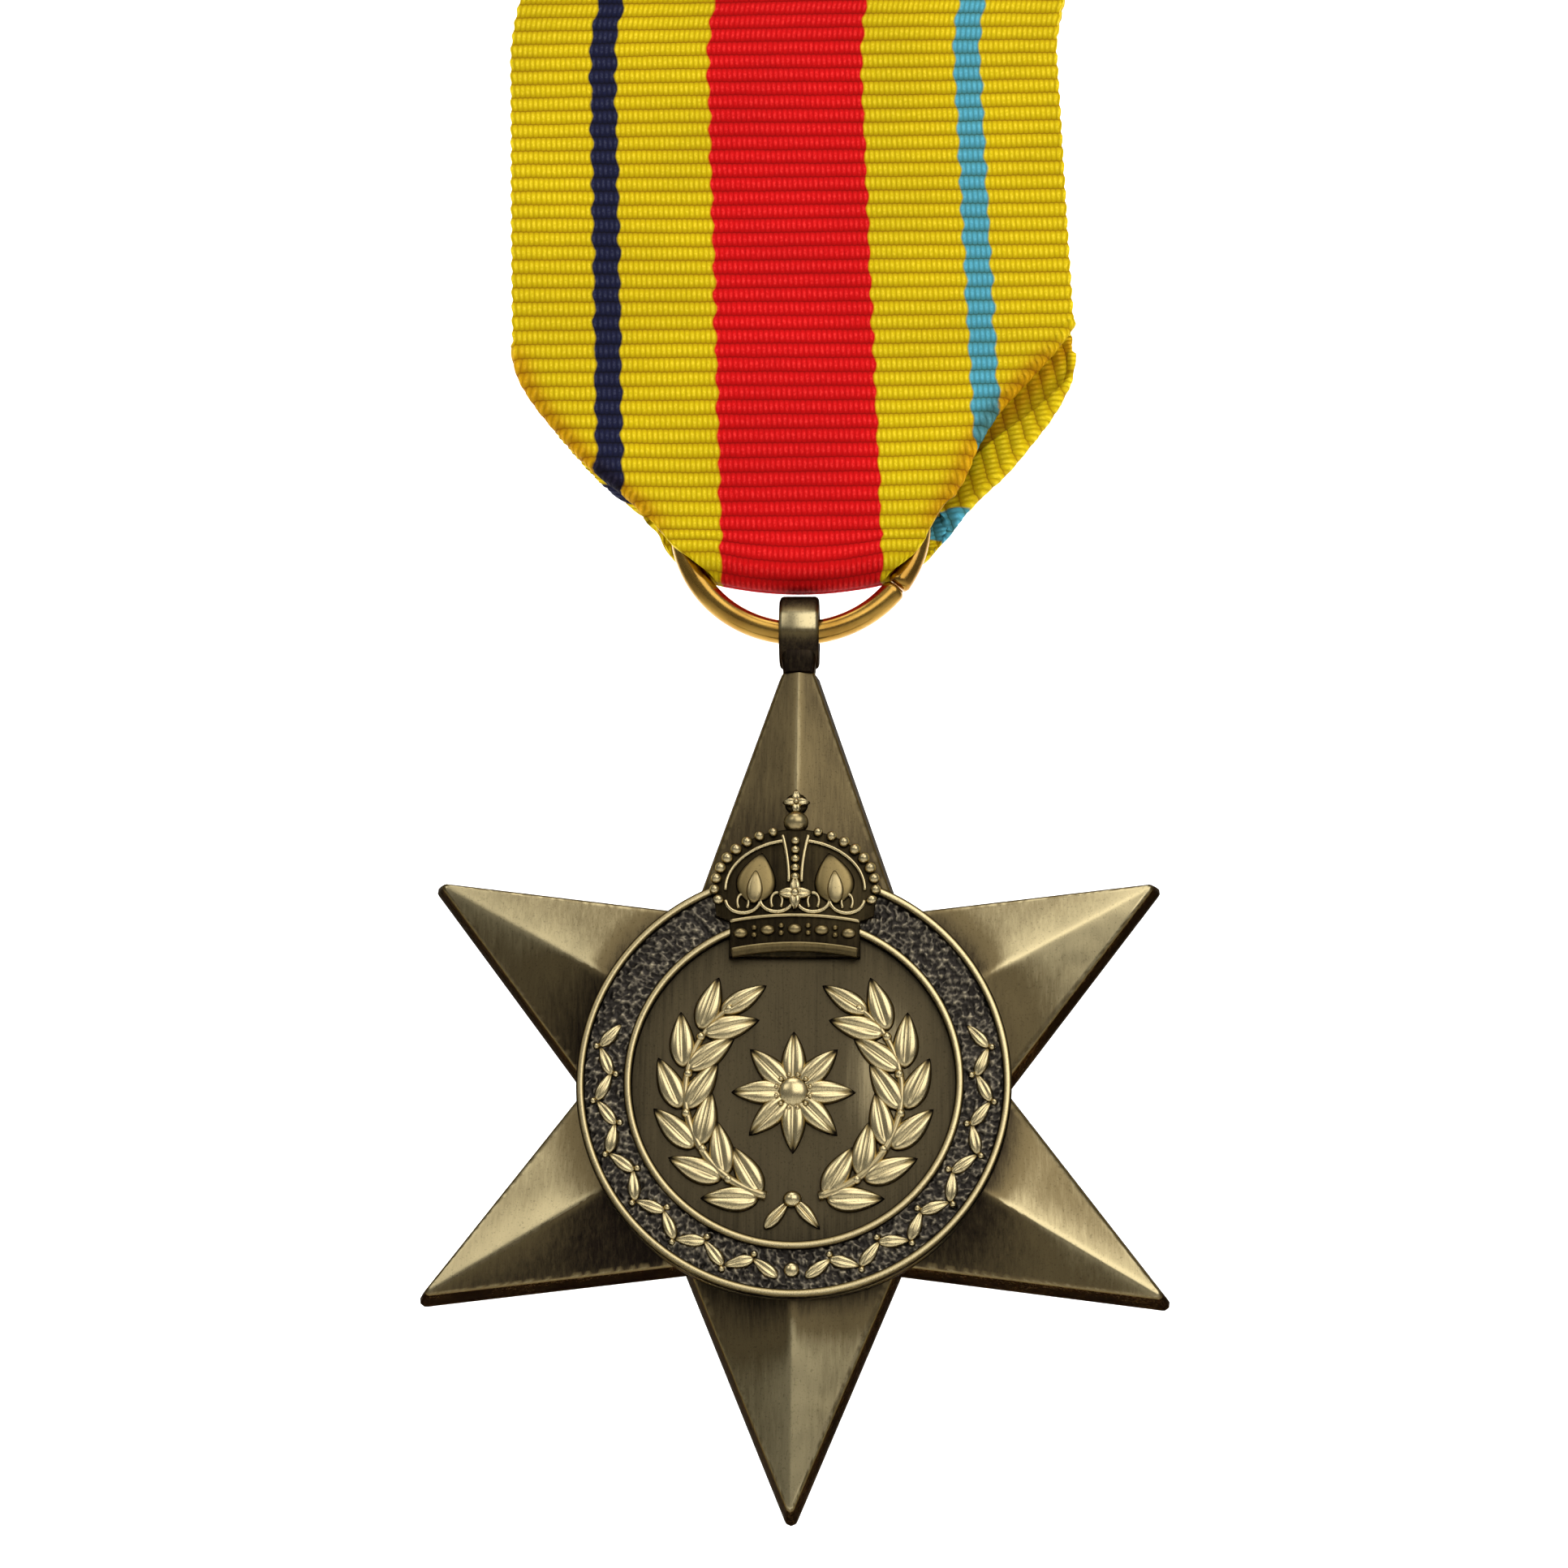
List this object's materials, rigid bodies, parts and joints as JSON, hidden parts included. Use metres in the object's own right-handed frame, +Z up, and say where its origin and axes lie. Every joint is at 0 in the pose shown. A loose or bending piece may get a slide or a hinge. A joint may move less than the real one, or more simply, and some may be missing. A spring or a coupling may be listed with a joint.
{
  "type": "service medal",
  "caption": "Six-pointed bronze campaign star with a crowned circlet and laurel wreath, hung by a ring from a striped corded ribbon on a pin-back brooch bar.",
  "frame": {"origin": "Middle of the brooch plate's back face, which lies against the coat.", "axes": "+Z up, the medal hangs along -Z; the front of the star faces -Y; +X is to the right seen from the front."},
  "size_m": [0.0396, 0.0097, 0.1016],
  "materials": {
    "brooch_brass": "satin",
    "pin_steel": "polished",
    "ribbon_cloth": "corded",
    "ring_gilt": "polished gilt",
    "star_bronze": "brushed antique bronze",
    "dark_bronze": "blackened antique bronze",
    "bright_bronze": "worn antique bronze"
  },
  "bodies": {
    "brooch": {"brooch_plate": "brooch_brass", "ribbon_bar": "brooch_brass", "pin_hinge_bracket": "brooch_brass", "hinge_rivet": "pin_steel", "catch_housing": "brooch_brass"},
    "pin": {"brooch_pin": "pin_steel"},
    "lock": {"catch_lock": "brooch_brass"},
    "ribbon": {"ribbon_front": "ribbon_cloth", "ribbon_rear": "ribbon_cloth", "ribbon_upper_loop": "ribbon_cloth", "ribbon_lower_fold": "ribbon_cloth"},
    "ring": {"suspension_ring": "ring_gilt"},
    "star": {"suspension_loop": "star_bronze", "star_body": "star_bronze", "medallion_disc": "dark_bronze", "circlet_outer_rim": "bright_bronze", "circlet_inner_rim": "bright_bronze", "circlet_band": "dark_bronze", "laurel_left": "bright_bronze", "laurel_right": "bright_bronze", "centre_rosette": "bright_bronze", "wreath_tie": "bright_bronze", "crown": "bright_bronze"}
  },
  "joints": [
    {"name": "pin_open", "type": "hinge", "parent": "brooch", "child": "pin", "pos_m": [-0.0135, 0.0022, 0], "axis": [0, 0, 1], "range_deg": [0, 100]},
    {"name": "lock_turn", "type": "hinge", "parent": "brooch", "child": "lock", "pos_m": [0.014, 0.0022, 0], "axis": [1, 0, 0], "range_deg": [0, 120]},
    {"name": "ribbon_swing", "type": "hinge", "parent": "brooch", "child": "ribbon", "pos_m": [0, -0.0024, -0.005], "axis": [1, 0, 0], "range_deg": [-80, 80]},
    {"name": "ring_slide", "type": "hinge", "parent": "ribbon", "child": "ring", "pos_m": [0, -0.0024, -0.04335], "axis": [0, 1, 0], "range_deg": [-12, 12]},
    {"name": "star_swing", "type": "hinge", "parent": "ring", "child": "star", "pos_m": [0, -0.0024, -0.05], "axis": [1, 0, 0], "range_deg": [-100, 100]}
  ]
}
